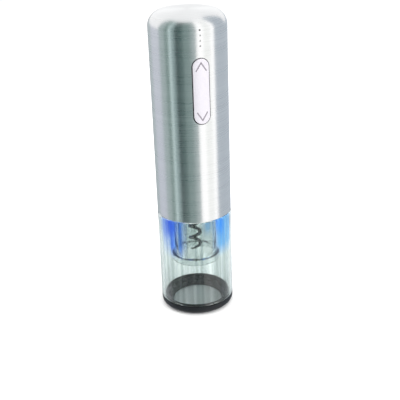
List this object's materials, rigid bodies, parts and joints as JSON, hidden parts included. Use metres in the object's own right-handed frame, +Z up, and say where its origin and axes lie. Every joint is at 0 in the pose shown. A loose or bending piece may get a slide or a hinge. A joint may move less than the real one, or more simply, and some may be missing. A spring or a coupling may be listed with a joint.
{
  "type": "electric wine opener",
  "caption": "Cylindrical cordless corkscrew: brushed steel handle with a rocker button over a clear sleeve, with a motor-driven worm inside.",
  "frame": {"origin": "centre of the foot ring's underside, where the opener stands on a table or on a bottle's shoulder side", "axes": "+Z up the handle along the worm's axis, -Y towards the rocker button, +X to the right of someone facing the button"},
  "size_m": [0.0498, 0.0503, 0.205],
  "materials": {
    "brushed_steel": "fine circumferential brushing",
    "satin_silver": "satin silver paint on moulded plastic",
    "clear_plastic": "clear moulded plastic, polished",
    "black_plastic": "satin black moulded plastic",
    "frame_plastic": "dark grey moulded plastic",
    "nylon": "natural nylon",
    "worm_coating": "dark slippery coating on spring steel",
    "gear_steel": "machined and sintered steel",
    "bronze": "sintered bronze",
    "zinc_steel": "zinc plated steel",
    "magnet_ferrite": "ferrite",
    "copper_winding": "enamelled copper on laminations",
    "cell_wrap": "shrink sleeve",
    "circuit_board": "solder resist",
    "silicone": "moulded silicone",
    "blue_light": "lit lens",
    "red_wire": "insulation",
    "black_wire": "insulation"
  },
  "bodies": {
    "handle": {"body_shell": "brushed_steel", "neck_guide": "clear_plastic", "indicator_light_guide": "clear_plastic", "rocker_bezel": "black_plastic", "battery_holder": "black_plastic", "motor_end_bell": "black_plastic", "charge_socket": "black_plastic", "chassis_front": "frame_plastic", "chassis_back": "frame_plastic", "guide_tube": "nylon", "gearbox_base": "nylon", "gear_case": "nylon", "motor_plate": "nylon", "rocker_pin": "gear_steel", "output_bush": "bronze", "motor_can": "zinc_steel", "chassis_screw_1": "zinc_steel", "chassis_screw_2": "zinc_steel", "chassis_screw_3": "zinc_steel", "chassis_screw_4": "zinc_steel", "guide_screw_1": "zinc_steel", "guide_screw_2": "zinc_steel", "guide_screw_3": "zinc_steel", "gearbox_screw_1": "zinc_steel", "gearbox_screw_2": "zinc_steel", "gearbox_screw_3": "zinc_steel", "motor_screw_1": "zinc_steel", "motor_screw_2": "zinc_steel", "motor_magnet_1": "magnet_ferrite", "motor_magnet_2": "magnet_ferrite", "battery_cell_1": "cell_wrap", "battery_cell_2": "cell_wrap", "control_board": "circuit_board", "charge_board": "circuit_board", "led_board": "circuit_board", "dome_pad": "silicone", "led_1": "blue_light", "led_2": "blue_light", "led_3": "blue_light", "led_4": "blue_light", "motor_lead_red": "red_wire", "battery_lead": "red_wire", "motor_lead_black": "black_wire"},
    "sleeve": {"clear_sleeve": "clear_plastic", "foot_ring": "black_plastic"},
    "rotor": {"armature": "copper_winding", "motor_pinion": "bronze"},
    "stage_1": {"stage_1_carrier": "gear_steel"},
    "drive": {"stage_2_carrier": "gear_steel", "drive_tube": "gear_steel"},
    "carriage": {"worm_carrier": "gear_steel", "worm": "worm_coating"},
    "rocker": {"rocker_button": "satin_silver"},
    "stage_1_planet_1": {"stage_1_planet_1": "gear_steel"},
    "stage_1_planet_2": {"stage_1_planet_2": "gear_steel"},
    "stage_1_planet_3": {"stage_1_planet_3": "gear_steel"},
    "stage_2_planet_1": {"stage_2_planet_1": "gear_steel"},
    "stage_2_planet_2": {"stage_2_planet_2": "gear_steel"},
    "stage_2_planet_3": {"stage_2_planet_3": "gear_steel"}
  },
  "joints": [
    {"name": "motor_spin", "type": "hinge", "parent": "handle", "child": "rotor", "pos_m": [0, 0, 0.15], "axis": [0, 0, -1], "range_deg": [0, 37800]},
    {"name": "stage_1_spin", "type": "hinge", "parent": "handle", "child": "stage_1", "pos_m": [0, 0, 0.14], "axis": [0, 0, -1], "range_deg": [0, 7620]},
    {"name": "drive_spin", "type": "hinge", "parent": "handle", "child": "drive", "pos_m": [0, 0, 0.13], "axis": [0, 0, -1], "range_deg": [0, 1542]},
    {"name": "worm_travel", "type": "slide", "parent": "drive", "child": "carriage", "axis": [0, 0, -1], "range_m": [0, 0.0421]},
    {"name": "sleeve_twist", "type": "hinge", "parent": "handle", "child": "sleeve", "pos_m": [0, 0, 0.07], "axis": [0, 0, 1], "range_deg": [0, 18]},
    {"name": "rocker_tilt", "type": "hinge", "parent": "handle", "child": "rocker", "pos_m": [0, -0.0215, 0.1585], "axis": [1, 0, 0], "range_deg": [-3.5, 3.5], "stiffness_Nm_per_rad": 0.25, "deforming": ["dome_pad"]},
    {"name": "stage_1_planet_1_spin", "type": "hinge", "parent": "stage_1", "child": "stage_1_planet_1", "pos_m": [0, 0.0075, 0.14], "axis": [0, 0, -1], "range_deg": [-20220, 0]},
    {"name": "stage_1_planet_2_spin", "type": "hinge", "parent": "stage_1", "child": "stage_1_planet_2", "pos_m": [-0.0065, -0.00375, 0.14], "axis": [0, 0, -1], "range_deg": [-20220, 0]},
    {"name": "stage_1_planet_3_spin", "type": "hinge", "parent": "stage_1", "child": "stage_1_planet_3", "pos_m": [0.0065, -0.00375, 0.14], "axis": [0, 0, -1], "range_deg": [-20220, 0]},
    {"name": "stage_2_planet_1_spin", "type": "hinge", "parent": "drive", "child": "stage_2_planet_1", "pos_m": [0, 0.0075, 0.133], "axis": [0, 0, -1], "range_deg": [-4092, 0]},
    {"name": "stage_2_planet_2_spin", "type": "hinge", "parent": "drive", "child": "stage_2_planet_2", "pos_m": [-0.0065, -0.00375, 0.133], "axis": [0, 0, -1], "range_deg": [-4092, 0]},
    {"name": "stage_2_planet_3_spin", "type": "hinge", "parent": "drive", "child": "stage_2_planet_3", "pos_m": [0.0065, -0.00375, 0.133], "axis": [0, 0, -1], "range_deg": [-4092, 0]}
  ],
  "couplings": [
    {"joint": "stage_1_spin", "follows": "motor_spin", "ratio": 0.2},
    {"joint": "drive_spin", "follows": "motor_spin", "ratio": 0.04},
    {"joint": "worm_travel", "follows": "motor_spin", "m_per_rad": 0.000063662},
    {"joint": "stage_1_planet_1_spin", "follows": "motor_spin", "ratio": -0.53333},
    {"joint": "stage_1_planet_2_spin", "follows": "motor_spin", "ratio": -0.53333},
    {"joint": "stage_1_planet_3_spin", "follows": "motor_spin", "ratio": -0.53333},
    {"joint": "stage_2_planet_1_spin", "follows": "motor_spin", "ratio": -0.10667},
    {"joint": "stage_2_planet_2_spin", "follows": "motor_spin", "ratio": -0.10667},
    {"joint": "stage_2_planet_3_spin", "follows": "motor_spin", "ratio": -0.10667}
  ]
}
